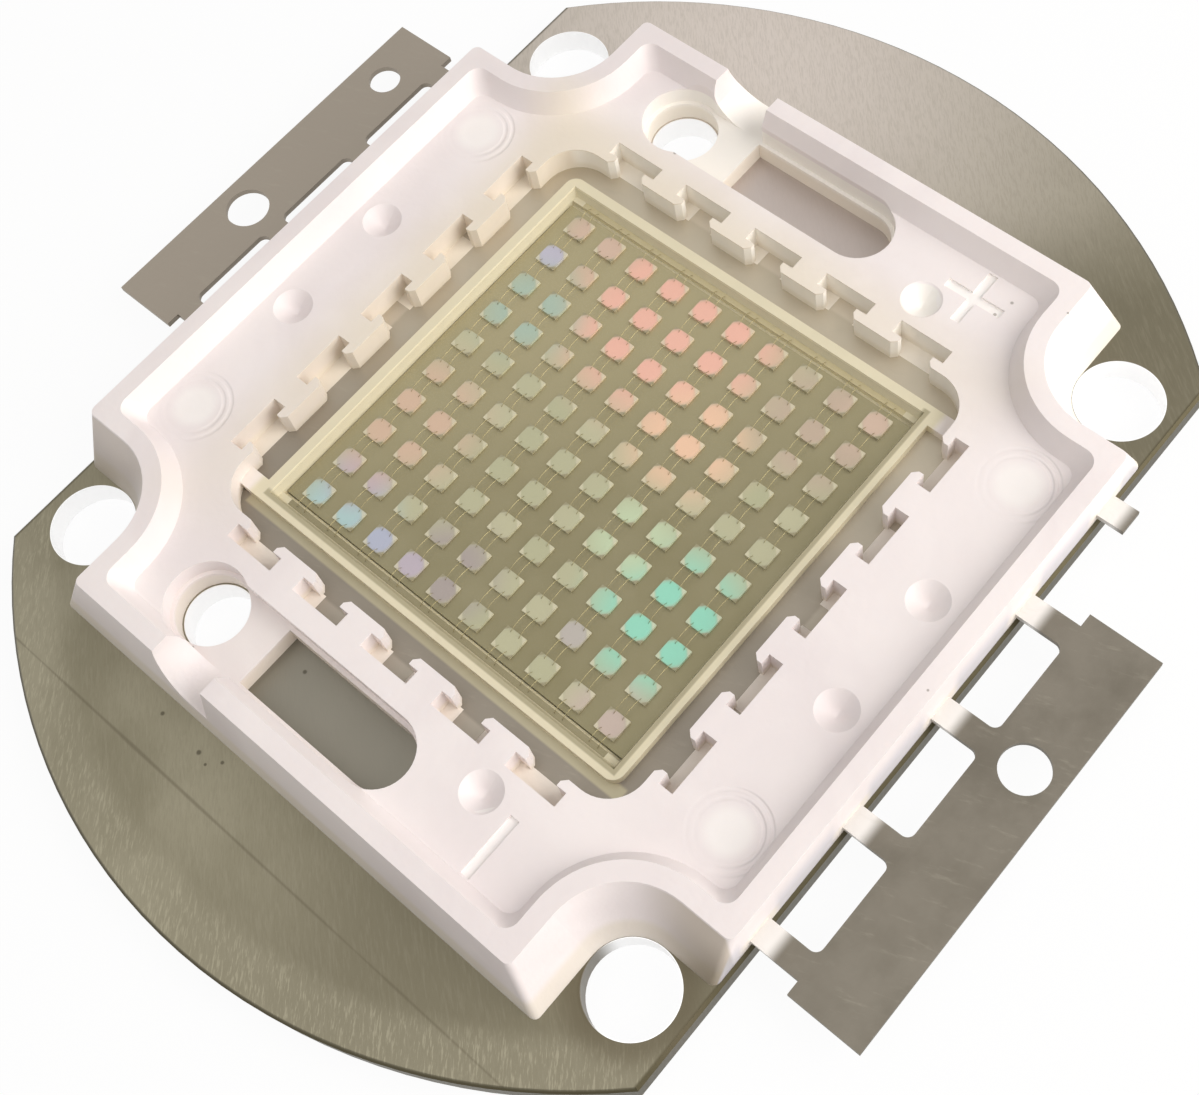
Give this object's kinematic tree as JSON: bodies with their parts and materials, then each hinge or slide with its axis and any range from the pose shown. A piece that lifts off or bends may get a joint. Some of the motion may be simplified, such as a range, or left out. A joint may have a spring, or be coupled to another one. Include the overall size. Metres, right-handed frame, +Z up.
{
  "type": "cob led module",
  "caption": "High-power chip-on-board LED module: notched white frame with solder tabs and a square field of bare dies on a round plate with two flats.",
  "frame": {"origin": "middle of the underside of the base plate", "axes": "+X along the long way of the plate towards the plus sign, +Y towards the positive solder tab, +Z up, the way the light leaves"},
  "size_m": [0.0566, 0.0518, 0.0045],
  "materials": {
    "plated_copper_plate": "satin, nickel plated",
    "white_frame_plastic": "matte moulded",
    "plated_lead": "satin, silver plated",
    "clear_silicone": "clear, soft",
    "die": "polished, iridescent"
  },
  "bodies": {
    "root": {"base_plate": "plated_copper_plate", "frame": "white_frame_plastic", "negative_lead_frame": "plated_lead", "positive_lead_frame": "plated_lead", "silicone_fill": "clear_silicone", "die_string_01": "die", "die_string_02": "die", "die_string_03": "die", "die_string_04": "die", "die_string_05": "die", "die_string_06": "die", "die_string_07": "die", "die_string_08": "die", "die_string_09": "die", "die_string_10": "die"}
  },
  "joints": []
}
